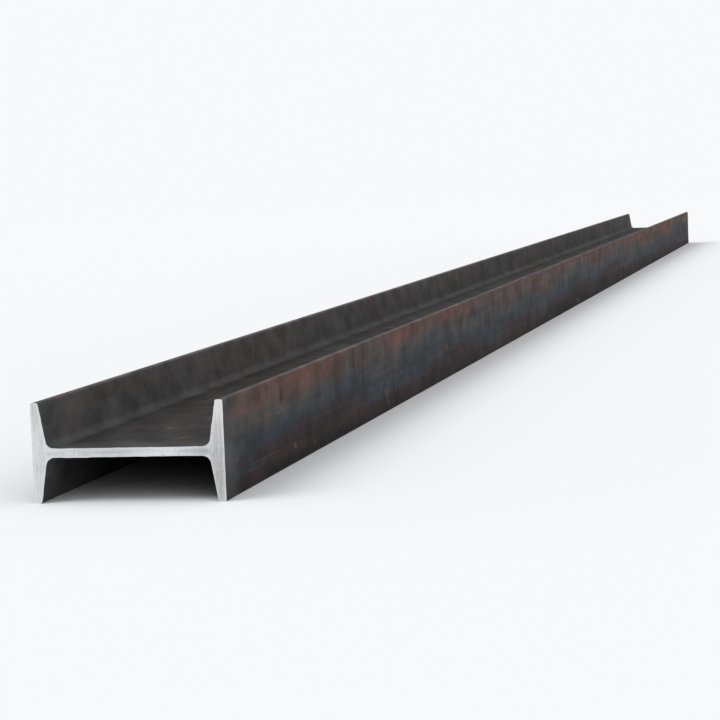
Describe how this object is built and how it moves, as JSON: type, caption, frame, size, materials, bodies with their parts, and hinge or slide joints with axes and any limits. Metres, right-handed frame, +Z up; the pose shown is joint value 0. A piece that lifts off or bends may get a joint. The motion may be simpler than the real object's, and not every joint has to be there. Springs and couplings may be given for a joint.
{
  "type": "steel i-beam",
  "caption": "Hot-rolled steel I-beam with tapered flanges, rounded roots and square-sawn ends, a length of structural stock lying level on its flange toes.",
  "frame": {"origin": "on the floor under the middle of the beam, level with the toes it lies on", "axes": "+X across the section's depth, from flange to flange; +Y along the beam; +Z up, across the flanges' width and square to the web"},
  "size_m": [0.2, 6, 0.102],
  "materials": {
    "mill_scale_steel": "as rolled: dark mill scale with thin rust, bare bright metal on the sawn ends"
  },
  "bodies": {
    "root": {"i_beam": "mill_scale_steel"}
  },
  "joints": []
}
